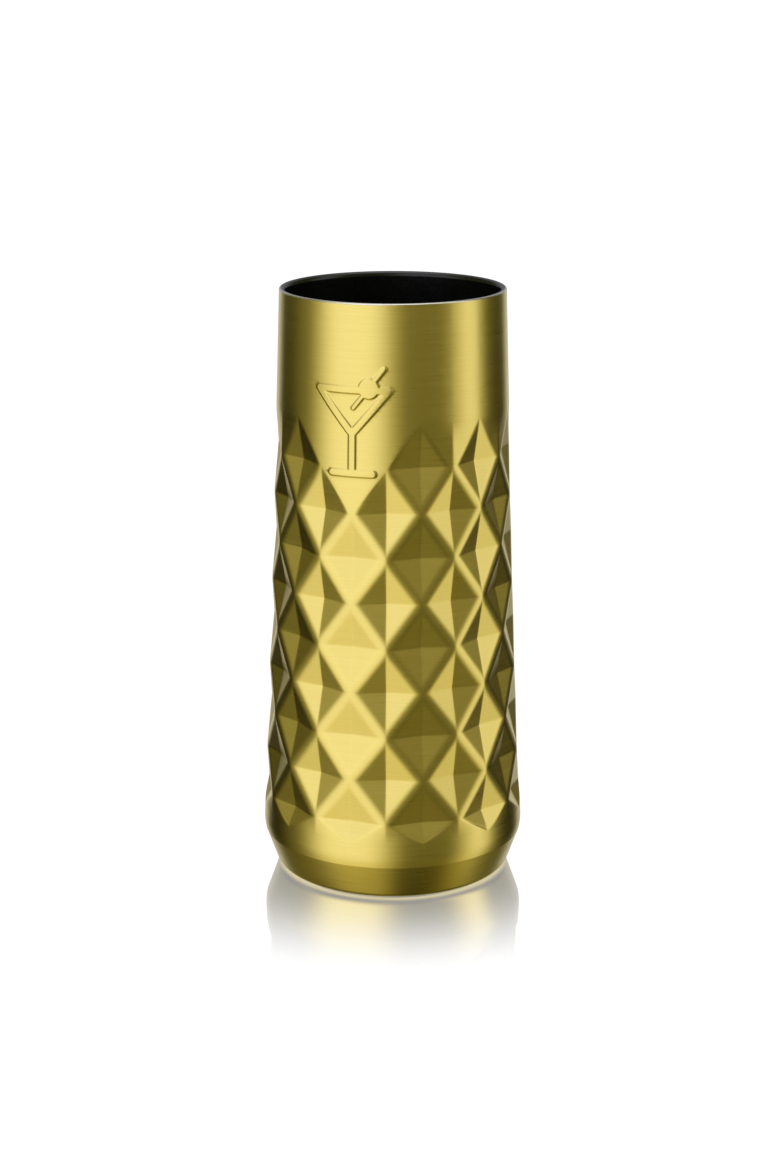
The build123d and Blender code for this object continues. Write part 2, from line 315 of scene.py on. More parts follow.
def band_radius(angle, z):
    """The wall between lozenges: flat strips between lattice nodes, round near the mouth and emblem."""
    plain = wall_radius(z)
    along = (angle - EMBLEM_ANGLE) % HALF_PITCH - HALF_PITCH / 2
    chord = plain * math.cos(math.radians(HALF_PITCH / 2))
    near = chord / np.cos(np.radians(along))
    beside = chord / np.cos(np.radians(HALF_PITCH - np.abs(along)))
    strips = soft_min(near, beside, LATTICE_FILLET)
    from_emblem = np.abs((angle - EMBLEM_ANGLE + 180) % 360 - 180)
    notch = 2 * ROW_SPACING * np.maximum(0, 1 - from_emblem / PITCH)
    upper_end = FIRST_ROW_Z + PRESSED_ROWS * ROW_SPACING - notch
    flatness = 1 - smooth_step(upper_end - STRIP_FADE_BELOW, upper_end + STRIP_FADE_ABOVE, z)
    flatness = flatness * smooth_step(BOTTOM_ROW_Z, FIRST_ROW_Z + STRIP_FADE_FOOT, z)
    return plain + (strips - plain) * flatness


def lozenge_radius(row, turn, z):
    """Radius of a lozenge's four planar facets, turn degrees round from its centre."""
    centre_z = row_height(np.array(float(row)))
    centre_r = wall_radius(centre_z)
    point = centre_r - LOZENGE_DEPTH
    side = math.radians(LOZENGE_SHARE * HALF_PITCH)
    chord = centre_r * math.cos(math.radians(HALF_PITCH / 2))
    side_r = chord / math.cos(math.radians(HALF_PITCH / 2) - math.radians((1 - LOZENGE_SHARE) * HALF_PITCH))
    side_slope = (side_r * math.cos(side) - point) / (side_r * math.sin(side))
    rise = z - centre_z
    reach_up = LOZENGE_TALL_SHARE * (row_height(np.array(row + 1.0)) - centre_z)
    reach_down = LOZENGE_TALL_SHARE * (centre_z - row_height(np.array(row - 1.0)))
    steep = np.where(rise > 0, LOZENGE_DEPTH / reach_up, LOZENGE_DEPTH / reach_down)
    turn = np.radians(turn)
    rounding = VALLEY_RADIUS / centre_r
    across = np.sqrt(np.sin(turn) ** 2 + rounding**2) - rounding
    up = np.sqrt(rise**2 + VALLEY_RADIUS**2) - VALLEY_RADIUS
    return (point + steep * up + wall_slope(centre_z) * rise) / (np.cos(turn) - side_slope * across)


def is_pressed(row, column):
    """Whether a lattice cell holds a lozenge; one is left out under the emblem."""
    return 0 <= row < PRESSED_ROWS and not (row == PRESSED_ROWS - 1 and column == 0)


CELL_CORNERS = [(1, 0), (0, 1), (-1, 0), (0, -1), (1, 0)]


def cell_template(rings, steps, quarters):
    """Points and faces of a lattice cell: x in half pitches, y in rows, rings of scaled diamonds."""
    points, faces = [(0.0, 0.0)], []
    for quarter in quarters:
        a, b = np.array(CELL_CORNERS[quarter], float), np.array(CELL_CORNERS[quarter + 1], float)
        start = len(points)
        for ring in rings:
            for step in steps:
                points.append(tuple(ring * ((1 - step) * a + step * b)))
        width = len(steps)
        for j in range(width - 1):
            faces.append((0, start + j, start + j + 1))
            for i in range(len(rings) - 1):
                low = start + i * width + j
                faces.append((low, low + width, low + width + 1, low + 1))
    return np.array(points), faces


# Rings of a cell as shares of its size, close together at a lozenge's edge, and steps along a ring's side
FINE_RINGS = [0.03, 0.08, 0.2, 0.4, 0.58, 0.70, 0.76, 0.79, 0.81, 0.83, 0.85, 0.87, 0.90, 0.95, 1.0]
INNER_RINGS = [0.4, 0.8, 0.9, 1.0]
PLAIN_RINGS = [i / 8 for i in range(1, 9)]
STEPS = [0.0, 0.04, 0.12, 0.31, 0.5, 0.69, 0.88, 0.96, 1.0]


def lattice_cells():
    """Every lattice cell as (row, column, centre angle, quarters); end rows are half cells."""
    for row in range(-1, TOP_ROW + 1):
        quarters = (0, 1) if row == -1 else (2, 3) if row == TOP_ROW else (0, 1, 2, 3)
        for column in range(AROUND):
            yield row, column, EMBLEM_ANGLE + column * PITCH + row % 2 * HALF_PITCH, quarters


def lattice_surface(inset, skipped=()):
    """The pressed wall as welded rows of cells, moved inward by inset millimetres."""
    points, faces = [], []
    for row, column, centre, quarters in lattice_cells():
        if (row, column) in skipped:
            continue
        pressed = is_pressed(row, column)
        rings = (INNER_RINGS if inset else FINE_RINGS) if pressed else PLAIN_RINGS
        local, local_faces = cell_template(rings, STEPS, quarters)
        angle = centre + local[:, 0] * HALF_PITCH
        z = row_height(row + local[:, 1])
        r = band_radius(angle, z)
        if pressed:
            facets = lozenge_radius(row, local[:, 0] * HALF_PITCH, z)
            foot_fade = 1 - smooth_step(BOTTOM_ROW_Z, BOTTOM_ROW_Z + FOOT_SOFT_HEIGHT, z)
            pressed_r = soft_min(r, facets, OUTLINE_FILLET + FOOT_SOFTNESS * foot_fade)
            edge_fade = 1 - smooth_step(CELL_EDGE_FADE, 1.0, np.abs(local).sum(1))
            r = r + (pressed_r - r) * edge_fade
        start = len(points)
        points.extend(zip(r - inset, angle % 360, z))
        faces.extend(tuple(start + i for i in face) for face in local_faces)
    return points, faces


def emblem_strokes():
    """Straight strokes of the emblem, each as two ends and a half width."""
    slope = (GLASS_RIM - GLASS_POINT) / GLASS_HALF_WIDTH
    rim = GLASS_RIM - STROKE_HALF
    half = GLASS_HALF_WIDTH - STROKE_HALF * (1 + math.sqrt(1 + slope**2)) / slope
    point = rim - half * slope
    foot = GLASS_FOOT + STROKE_HALF
    foot_half = GLASS_FOOT_HALF_WIDTH - STROKE_HALF
    pick = np.array([math.cos(math.radians(PICK_TILT)), math.sin(math.radians(PICK_TILT))])
    pick_reach = pick * (PICK_HALF_LENGTH - PICK_HALF)
    return [
        ((-half, rim), (half, rim), STROKE_HALF),
        ((-half, rim), (0.0, point), STROKE_HALF),
        ((half, rim), (0.0, point), STROKE_HALF),
        ((0.0, point), (0.0, foot), STROKE_HALF),
        ((-foot_half, foot), (foot_half, foot), STROKE_HALF),
        (tuple(OLIVE_CENTRE - pick_reach), tuple(OLIVE_CENTRE + pick_reach), PICK_HALF),
    ]


EMBLEM_STROKES = emblem_strokes()


def emblem_distance(x, y):
    """Signed distance to the emblem's edge: negative inside its shapes."""
    distance = np.hypot(x - OLIVE_CENTRE[0], y - OLIVE_CENTRE[1]) - OLIVE_RADIUS
    for (ax, ay), (bx, by), width in EMBLEM_STROKES:
        length = math.hypot(bx - ax, by - ay)
        ux, uy = (bx - ax) / length, (by - ay) / length
        along = np.clip((x - ax) * ux + (y - ay) * uy, 0, length)
        distance = np.minimum(distance, np.hypot(x - ax - along * ux, y - ay - along * uy) - width)
    return distance


def emblem_relief(x, y):
    """How far the emblem stands out of the wall, with a soft edge."""
    return EMBLEM_RELIEF * (1 - smooth_step(-EMBLEM_EDGE / 2, EMBLEM_EDGE / 2, emblem_distance(x, y)))


# Columns of lattice cells that the emblem covers in each row, and the wall's length for a degree of turn
EMBLEM_COLUMNS = {8: (0,), 9: (0, AROUND - 1), 10: (0, 1, AROUND - 1), 11: (0, AROUND - 1)}
EMBLEM_CELLS = {(row, column) for row, columns in EMBLEM_COLUMNS.items() for column in columns}
ARC_PER_DEGREE = math.radians(1) * MOUTH_R


def inside(loop, x, y, margin):
    """Whether points lie inside a closed loop, at least a margin from its edges."""
    crossings = np.zeros(len(x), bool)
    clear = np.ones(len(x), bool)
    for (ax, ay), (bx, by) in zip(loop, np.roll(loop, -1, axis=0)):
        spans = (ay > y) != (by > y)
        rise = by - ay if abs(by - ay) > 1e-12 else 1e-12
        crossings ^= spans & (x < (bx - ax) * (y - ay) / rise + ax)
        if margin:
            length = math.hypot(bx - ax, by - ay)
            along = np.clip(((x - ax) * (bx - ax) + (y - ay) * (by - ay)) / length, 0, length)
            gap = np.hypot(x - ax - along * (bx - ax) / length, y - ay - along * (by - ay) / length)
            clear &= gap > margin
    return crossings & clear


def patch_boundary():
    """The closed edge of the emblem's cells, laid flat: millimetres round from the emblem, and height."""
    edges = {}
    for row, column, centre, _ in lattice_cells():
        if (row, column) not in EMBLEM_CELLS:
            continue
        for a, b in zip(CELL_CORNERS, CELL_CORNERS[1:]):
            line = [((1 - s) * a[0] + s * b[0], (1 - s) * a[1] + s * b[1]) for s in STEPS]
            turned = [(centre + x * HALF_PITCH - EMBLEM_ANGLE + 180) % 360 - 180 for x, _ in line]
            heights = [float(row_height(row + y)) for _, y in line]
            flat = [(round(t * ARC_PER_DEGREE, 6), round(z, 6)) for t, z in zip(turned, heights)]
            for p, q in zip(flat, flat[1:]):
                if (q, p) in edges:
                    del edges[(q, p)]
                else:
                    edges[(p, q)] = True
    after = dict(edges.keys())
    loop = [next(iter(after))]
    while after[loop[-1]] != loop[0]:
        loop.append(after[loop[-1]])
    return np.array(loop)


def grid_points(boundary, pitch, wanted):
    """Points of a square grid inside the boundary whose gap from the emblem's edge is wanted."""
    low, high = boundary.min(0), boundary.max(0)
    x, z = np.meshgrid(np.arange(low[0], high[0], pitch), np.arange(low[1], high[1], pitch))
    x, z = x.ravel(), z.ravel()
    fits = wanted(np.abs(emblem_distance(x, z - EMBLEM_Z))) & inside(boundary, x, z, BOUNDARY_GAP)
    return np.column_stack([x[fits], z[fits]])


def emblem_patch():
    """The stretch of wall that carries the emblem, meshed finely along the emblem's edges."""
    boundary = patch_boundary()
    fine = grid_points(boundary, EDGE_PITCH, lambda gap: gap < EDGE_REACH)
    coarse = grid_points(boundary, PLAIN_PITCH, lambda gap: gap > PLAIN_GAP)
    count = len(boundary)
    fence = [(i, (i + 1) % count) for i in range(count)]
    corners = [Vector(p) for p in np.vstack([boundary, fine, coarse])]
    flat, _, faces, *_ = geometry.delaunay_2d_cdt(corners, fence, [], 0, 1e-5)
    flat = np.array([tuple(p) for p in flat])
    triangles = flat[np.array(faces)]
    middles = triangles.mean(1)
    side, other = triangles[:, 1] - triangles[:, 0], triangles[:, 2] - triangles[:, 0]
    area = np.abs(side[:, 0] * other[:, 1] - side[:, 1] * other[:, 0]) / 2
    kept = inside(boundary, middles[:, 0], middles[:, 1], 0.0) & (area > SLIVER)
    faces = [tuple(face) for face, keep in zip(faces, kept) if keep]
    angle = EMBLEM_ANGLE + flat[:, 0] / ARC_PER_DEGREE
    r = band_radius(angle, flat[:, 1]) + emblem_relief(flat[:, 0], flat[:, 1] - EMBLEM_Z)
    return list(zip(r, angle % 360, flat[:, 1])), faces


def ring_stack(outline):
    """Rings of an outline's points, at the same angles as the lattice's end rows, joined ring to ring."""
    angles = sorted({
        round((EMBLEM_ANGLE + HALF_PITCH + column * PITCH + side * ring * HALF_PITCH) % 360, 9)
        for column in range(AROUND)
        for ring in PLAIN_RINGS
        for side in (-1, 0, 1)
    })
    points = [(r, angle, z) for r, z in outline for angle in angles]
    count = len(angles)
    faces = []
    for i in range(len(outline) - 1):
        for j in range(count):
            k = (j + 1) % count
            faces.append((i * count + j, i * count + k, (i + 1) * count + k, (i + 1) * count + j))
    return points, faces


def foot_outline(inset):
    """Outline from the lattice's lowest row over the shoulder and bevel to the turned-in foot."""
    foot = FOOT_Z + inset
    corners = [
        (float(wall_radius(BOTTOM_ROW_Z)) - inset, BOTTOM_ROW_Z),
        (SHOULDER_R - inset, SHOULDER_Z, SHOULDER_FILLET - inset),
        (CREASE_R - inset, CREASE_Z, CREASE_FILLET - inset),
        (BASE_R - inset, foot, BASE_FILLET - inset),
        (COVER_R, foot),
    ]
    return rounded(corners)


def make_shell(material):
    """The pressed outer shell: outside, inside, turned-in foot and top edge as one closed sheet."""
    outside = lattice_surface(0.0, EMBLEM_CELLS)
    patch = emblem_patch()
    within = lattice_surface(SHELL_SHEET)
    foot = foot_outline(0.0) + foot_outline(SHELL_SHEET)[::-1]
    rim = [(SHELL_INNER_MOUTH_R, TOP_Z), (MOUTH_R, TOP_Z)]
    points, faces = [], []
    for some_points, some_faces in (outside, patch, within, ring_stack(foot), ring_stack(rim)):
        start = len(points)
        points.extend(some_points)
        faces.extend(tuple(start + i for i in face) for face in some_faces)
    polar = np.array(points)
    turn = np.radians(polar[:, 1])
    places = np.column_stack([polar[:, 0] * np.cos(turn), polar[:, 0] * np.sin(turn), polar[:, 2]])
    shell = new_piece("shell", places, faces, material, "outer_shell")
    weld(shell.data, WELD_REACH)
    shell.data.set_sharp_from_angle(angle=math.radians(SHARP_ANGLE))


# ---------------------------------------------------------------- materials

# Ranges of a noise that carry a tint or a roughness from one end to the other
TINT_SPREAD = (0.3, 0.7)
ROUGHNESS_SPREAD = (0.25, 0.75)

# Brushed metal
STREAK_REPEATS = (0.06, 0.06, 2.2)
QUARTER_TURN = 0.25
COAT_ROUGHNESS = 0.18


def new_material(name):
    """A node material and its Principled shader."""
    material = bpy.data.materials.new(name)
    material.use_nodes = True
    return material, material.node_tree.nodes["Principled BSDF"]


def add_node(tree, kind, **values):
    """A node with numbers set on its inputs."""
    node = tree.nodes.new(kind)
    for name, value in values.items():
        node.inputs[name].default_value = value
    return node


def math_node(tree, operation, *values):
    """A Math node; each value is a number or a socket."""
    node = tree.nodes.new("ShaderNodeMath")
    node.operation = operation
    for i, value in enumerate(values):
        if isinstance(value, (int, float)):
            node.inputs[i].default_value = value
        else:
            tree.links.new(value, node.inputs[i])
    return node.outputs[0]


def stretched_noise(tree, scale, detail=4.0, roughness=0.6):
    """Noise in object space, stretched by a scale for each axis, in repeats per millimetre."""
    place = tree.nodes.new("ShaderNodeTexCoord")
    mapping = tree.nodes.new("ShaderNodeMapping")
    mapping.inputs["Scale"].default_value = [s / MM for s in scale]
    noise = add_node(tree, "ShaderNodeTexNoise", Scale=1.0, Detail=detail, Roughness=roughness)
    tree.links.new(place.outputs["Object"], mapping.inputs["Vector"])
    tree.links.new(mapping.outputs["Vector"], noise.inputs["Vector"])
    return noise.outputs["Fac"]


def ramp(tree, source, span, values, smooth=False):
    """source mapped from one range to another, clamped, in a straight line or along a smooth step."""
    node = tree.nodes.new("ShaderNodeMapRange")
    node.interpolation_type = "SMOOTHSTEP" if smooth else "LINEAR"
    for name, number in zip(("From Min", "From Max", "To Min", "To Max"), (*span, *values)):
        node.inputs[name].default_value = number
    tree.links.new(source, node.inputs["Value"])
    return node.outputs["Result"]


def colour_between(tree, source, first, second):
    """A colour that goes from the first to the second as source goes from 0 to 1."""
    mix = tree.nodes.new("ShaderNodeMix")
    mix.data_type = "RGBA"
    mix.inputs["A"].default_value = (*first, 1)
    mix.inputs["B"].default_value = (*second, 1)
    tree.links.new(source, mix.inputs["Factor"])
    return mix.outputs["Result"]


def multiply_colours(tree, first, second):
    """The product of two colour sockets."""
    mix = tree.nodes.new("ShaderNodeMix")
    mix.data_type = "RGBA"
    mix.blend_type = "MULTIPLY"
    mix.inputs["Factor"].default_value = 1.0
    tree.links.new(first, mix.inputs["A"])
    tree.links.new(second, mix.inputs["B"])
    return mix.outputs["Result"]


def bump(tree, source, shader, strength, distance):
    """Relief of a distance in millimetres on a shader's normal."""
    node = tree.nodes.new("ShaderNodeBump")
    node.inputs["Strength"].default_value = strength
    node.inputs["Distance"].default_value = distance * MM
    tree.links.new(source, node.inputs["Height"])
    tree.links.new(node.outputs["Normal"], shader.inputs["Normal"])


def blend_shaders(tree, share, first, second, output):
    """Sends two shaders to the output, with share of the second."""
    mix = tree.nodes.new("ShaderNodeMixShader")
    tree.links.new(share, mix.inputs["Fac"])
    tree.links.new(first.outputs[0], mix.inputs[1])
    tree.links.new(second.outputs[0], mix.inputs[2])
    tree.links.new(mix.outputs[0], tree.nodes[output].inputs["Surface"])


def brushed_metal(name, colours, roughness, anisotropy, grain, coat=0.0):
    """Metal brushed round the vessel: streaks run round it and highlights stretch up and down."""
    material, shader = new_material(name)
    tree = material.node_tree
    shader.inputs["Metallic"].default_value = 1.0
    shader.inputs["Anisotropic"].default_value = anisotropy
    shader.inputs["Anisotropic Rotation"].default_value = QUARTER_TURN
    shader.inputs["Coat Weight"].default_value = coat
    shader.inputs["Coat Roughness"].default_value = COAT_ROUGHNESS
    tangent = tree.nodes.new("ShaderNodeTangent")
    tangent.direction_type = "RADIAL"
    tangent.axis = "Z"
    tree.links.new(tangent.outputs["Tangent"], shader.inputs["Tangent"])
    streaks = stretched_noise(tree, STREAK_REPEATS, detail=6.0, roughness=0.65)
    tint = colour_between(tree, ramp(tree, streaks, TINT_SPREAD, (0, 1)), *colours)
    tree.links.new(tint, shader.inputs["Base Color"])
    tree.links.new(ramp(tree, streaks, ROUGHNESS_SPREAD, roughness), shader.inputs["Roughness"])
    bump(tree, streaks, shader, 0.35, grain)
    return material


def plain_coating(name, colours, roughness, grain_scale, grain, metallic=0.0):
    """A coated, cast or moulded surface with a fine even grain."""
    material, shader = new_material(name)
    tree = material.node_tree
    shader.inputs["Metallic"].default_value = metallic
    speckle = stretched_noise(tree, (grain_scale,) * 3, detail=5.0)
    tint = colour_between(tree, ramp(tree, speckle, TINT_SPREAD, (0, 1)), *colours)
    tree.links.new(tint, shader.inputs["Base Color"])
    tree.links.new(ramp(tree, speckle, ROUGHNESS_SPREAD, roughness), shader.inputs["Roughness"])
    bump(tree, speckle, shader, 0.4, grain)
    return material


def coated_lip(name, edge):
    """Steel outside a radius in millimetres, black coating inside it."""
    material, steel = new_material(name)
    tree = material.node_tree
    coating = tree.nodes.new("ShaderNodeBsdfPrincipled")
    coating.inputs["Base Color"].default_value = (0.012, 0.012, 0.012, 1)
    coating.inputs["Specular IOR Level"].default_value = 1.0
    steel.inputs["Metallic"].default_value = 1.0
    ripple = stretched_noise(tree, (0.8, 0.8, 0.8))
    share = ramp(tree, ripple, TINT_SPREAD, (0, 1))
    tint = colour_between(tree, share, (0.88, 0.83, 0.68), (0.98, 0.94, 0.80))
    tree.links.new(tint, steel.inputs["Base Color"])
    tree.links.new(ramp(tree, ripple, ROUGHNESS_SPREAD, (0.12, 0.24)), steel.inputs["Roughness"])
    tree.links.new(ramp(tree, ripple, ROUGHNESS_SPREAD, (0.25, 0.40)), coating.inputs["Roughness"])
    place = tree.nodes.new("ShaderNodeTexCoord")
    split = tree.nodes.new("ShaderNodeSeparateXYZ")
    tree.links.new(place.outputs["Object"], split.inputs["Vector"])
    squares = [math_node(tree, "MULTIPLY", split.outputs[axis], split.outputs[axis]) for axis in "XY"]
    radius = math_node(tree, "SQRT", math_node(tree, "ADD", *squares))
    blend = ((edge - LIP_COATING_BLEND) * MM, (edge + LIP_COATING_BLEND) * MM)
    blend_shaders(tree, ramp(tree, radius, blend, (0, 1)), coating, steel, "Material Output")
    return material


# ---------------------------------------------------------------- build

gold = brushed_metal(
    "gold_brushed", ((0.90, 0.725, 0.21), (0.97, 0.795, 0.25)), (0.26, 0.34), 0.6, 0.004, coat=0.12
)
bare_steel = brushed_metal(
    "bare_steel", ((0.55, 0.53, 0.50), (0.66, 0.64, 0.60)), (0.20, 0.32), 0.3, 0.004
)
black = plain_coating(
    "black_coating", ((0.003, 0.003, 0.003), (0.006, 0.006, 0.006)), (0.16, 0.24), 0.9, 0.002
)
weld_steel = plain_coating(
    "weld_steel", ((0.52, 0.50, 0.45), (0.70, 0.67, 0.60)), (0.18, 0.34), 0.8, 0.02, metallic=1.0
)
copper = plain_coating(
    "copper_foil", ((0.62, 0.28, 0.14), (0.80, 0.42, 0.24)), (0.2, 0.4), 0.15, 0.12, metallic=1.0
)
glass_solder = plain_coating(
    "solder_glass", ((0.10, 0.08, 0.05), (0.22, 0.18, 0.12)), (0.12, 0.3), 0.5, 0.05
)
getter_grey = plain_coating(
    "getter_powder", ((0.10, 0.10, 0.11), (0.22, 0.22, 0.23)), (0.7, 0.95), 3.0, 0.05
)
adhesive = plain_coating(
    "adhesive_film", ((0.70, 0.66, 0.55), (0.80, 0.77, 0.68)), (0.4, 0.6), 0.6, 0.01
)
silicone = plain_coating(
    "silicone", ((0.016, 0.016, 0.016), (0.028, 0.028, 0.028)), (0.55, 0.75), 4.0, 0.02
)
lip = coated_lip("coated_lip", LIP_COATED_R)


def lip_curve():
    """The lip's rounded inside, from its crest down to the lid seat, with a point at the shell's top."""
    crest_z = node_box("mouth_weld_bead")[1].z
    reach = LIP_CREST_R - SEAT_R
    turns = list(np.linspace(0, math.pi / 2, 17)) + [math.acos((TOP_Z - crest_z + LIP_ROUND) / LIP_ROUND)]
    return [
        (LIP_CREST_R - reach * math.sin(turn), crest_z - LIP_ROUND * (1 - math.cos(turn)))
        for turn in sorted(turns)
    ]


def make_liner():
    """Black-coated cup wall with a stepped lid seat and a rolled lip."""
    low, high = node_box("liner_wall")
    inner = LINER_R - LINER_SHEET
    seat_z = SEAT_Z - SEAT_LENGTH / 2
    outline = [
        (inner, low.z),
        (LINER_R, low.z),
        (LINER_R, seat_z - SEAT_STEP, 2),
        (SEAT_R + LINER_SHEET, seat_z, 2),
        (SEAT_R + LINER_SHEET, high.z - LIP_FLARE_START, 1),
        (SHELL_INNER_MOUTH_R, high.z - LIP_FLARE_END, 0.5),
        (SHELL_INNER_MOUTH_R, high.z),
        *[(r, z) for r, z in lip_curve() if z <= high.z],
        (SEAT_R, seat_z, 2),
        (inner, seat_z - SEAT_STEP, 2),
    ]
    lathe("liner_cup", rounded(outline, 5), black, "liner_wall")


def make_liner_floor():
    """Dished bottom of the cup."""
    low, high = node_box("liner_bottom")
    inner = LINER_R - LINER_SHEET
    outline = [
        (0.0, low.z),
        (LINER_R, low.z, LINER_CORNER + LINER_SHEET),
        (LINER_R, high.z),
        (inner, high.z),
        (inner, low.z + LINER_SHEET, LINER_CORNER),
        (0.0, low.z + LINER_SHEET),
    ]
    lathe("liner_floor", rounded(outline, 12), black, "liner_bottom")


def make_lip_bead():
    """Weld bead on the lip: outside a half round, inside the top of the rounded lip."""
    low, high = node_box("mouth_weld_bead")
    width, height = MOUTH_R - LIP_CREST_R, high.z - low.z
    outer_half = [
        (LIP_CREST_R + width * math.cos(turn), low.z + height * math.sin(turn))
        for turn in np.linspace(0, math.pi / 2, 9)
    ]
    inner_half = [(r, z) for r, z in lip_curve() if z >= low.z][1:]
    lathe("lip_bead", outer_half + inner_half, lip, "mouth_weld_bead", LIP_SEGMENTS)


def make_base_cover():
    """Base cover, with the recess that takes the foot pad."""
    low, high = node_box("outer_base_cover")
    recess = half_width("foot_pad") + PAD_CLEARANCE
    outline = [
        (0.0, high.z - COVER_SHEET),
        (recess, high.z - COVER_SHEET, 0.3),
        (recess, low.z, 0.25),
        (COVER_R, low.z),
        (COVER_R, low.z + COVER_SHEET),
        (recess + COVER_SHEET, low.z + COVER_SHEET, 0.25),
        (recess + COVER_SHEET, high.z, 0.3),
        (0.0, high.z),
    ]
    lathe("base_cover", rounded(outline, 4), gold, "outer_base_cover")


def make_foot_pad():
    """Silicone foot pad with moulded grooves in its underside."""
    low, high = node_box("foot_pad")
    radius = half_width("foot_pad")
    outline = [(0.0, high.z), (radius, high.z), (radius, low.z, PAD_EDGE)]
    for groove in PAD_GROOVES:
        outline += [
            (groove + GROOVE_HALF_WIDTH, low.z, GROOVE_EDGE),
            (groove + GROOVE_HALF_WIDTH, low.z + GROOVE_DEPTH),
            (groove - GROOVE_HALF_WIDTH, low.z + GROOVE_DEPTH),
            (groove - GROOVE_HALF_WIDTH, low.z, GROOVE_EDGE),
        ]
    outline.append((0.0, low.z))
    lathe("foot_ring_pad", rounded(outline, 4), silicone, "foot_pad")


make_shell(gold)
make_liner()
make_liner_floor()
make_lip_bead()
make_base_cover()
make_foot_pad()

# Sealed pieces keep their CAD meshes: each has a material and its slot
HIDDEN = {
    "liner_bottom_weld": (weld_steel, "weld_steel"),
    "radiation_foil": (copper, "copper_foil"),
    "vacuum_base_plate": (bare_steel, "bare_steel"),
    "vacuum_plate_weld": (weld_steel, "weld_steel"),
    "sealing_glass_bead": (glass_solder, "solder_glass"),
    "getter_cup": (bare_steel, "bare_steel"),
    "getter_pellet": (getter_grey, "getter_powder"),
    "base_cover_weld": (weld_steel, "weld_steel"),
    "foot_pad_adhesive": (adhesive, "adhesive_film"),
}
for node, (material, slot) in HIDDEN.items():
    piece = frame["nodes"][node]
    piece.data.materials.clear()
    piece.data.materials.append(material)


# ---------------------------------------------------------------- stage

# Light by direction. Azimuths are degrees round from the camera; heights are degrees above the horizon.
# Each soft box: azimuths where it starts and is full, azimuths where it fades and ends, its strength, and
# the share of it that is left near the floor
SOFT_BOXES = [
    ((-96, -54), (-25, 15), 0.90, 1.0),
    ((49, 84), (84, 107), 0.81, 0.45),
]
LOW_SHARE_HEIGHTS = (-56, -42)
AMBIENT = (0.10, 0.005)
AMBIENT_AZIMUTHS = (95, 122)
AMBIENT_HIGH = 0.165
AMBIENT_HIGH_HEIGHTS = (-14, 8)
BACKDROP = 0.65
BACKDROP_AZIMUTHS = (138, 160)
BACKDROP_HIGH_SHARE = 0.4
BACKDROP_HEIGHTS = (-12, 4)
BACKDROP_WHITE_AZIMUTHS = (136, 150)
FLOOR_BOUNCE = 0.15
FLOOR_BOUNCE_HEIGHTS = (-80, -15)
UPPER_SHARE = 0.84
UPPER_HEIGHTS = (-12, 16)
FLOOR_GLOW = 0.08
FLOOR_GLOW_START = (-56, -46)
FLOOR_GLOW_END = (-42, -22)
OVERHEAD = 1.0
OVERHEAD_HEIGHTS = (38, 75)
LIGHT_MAP_SIZE = 1024

# Tints: dim light is warm, light near the floor is warm, light above the horizon is a little cool
WHITE = (1, 1, 1)
DIM_TINT = (1.0, 0.94, 0.32)
DIM_STRENGTHS = (0.1, 1.0)
BOUNCE_TINT = (1.0, 0.92, 0.46)
BOUNCE_TINT_HEIGHTS = (-50, -25)
UPPER_TINT = (1.0, 1.01, 1.10)
UPPER_TINT_HEIGHTS = (-12, 10)

# Floor: a square in metres, polished out to a radius in millimetres
FLOOR_REACH = 30.0
FLOOR_WHITE = 1.05
POLISH = 0.74
POLISH_START = 38.0
POLISH_END = 108.0


def make_floor():
    """A wide white floor, polished round the object's foot so that its mirror image fades outward."""
    mesh = bpy.data.meshes.new("floor")
    corners = [(x * FLOOR_REACH, y * FLOOR_REACH, 0) for x, y in ((-1, -1), (1, -1), (1, 1), (-1, 1))]
    mesh.from_pydata(corners, [], [(0, 1, 2, 3)])
    material, shader = new_material("pale_floor")
    tree = material.node_tree
    tree.nodes.remove(shader)
    place = tree.nodes.new("ShaderNodeTexCoord")
    length = tree.nodes.new("ShaderNodeVectorMath")
    length.operation = "LENGTH"
    tree.links.new(place.outputs["Object"], length.inputs[0])
    span = (POLISH_START * MM, POLISH_END * MM)
    polish = ramp(tree, length.outputs["Value"], span, (POLISH, 0), smooth=True)
    plain = add_node(tree, "ShaderNodeEmission", Color=(*WHITE, 1), Strength=FLOOR_WHITE)
    mirror = add_node(tree, "ShaderNodeBsdfGlossy", Color=(*WHITE, 1), Roughness=0.0)
    blend_shaders(tree, polish, plain, mirror, "Material Output")
    mesh.materials.append(material)
    floor = bpy.data.objects.new("floor", mesh)
    bpy.context.scene.collection.objects.link(floor)
    floor.visible_glossy = False
    floor.visible_shadow = False


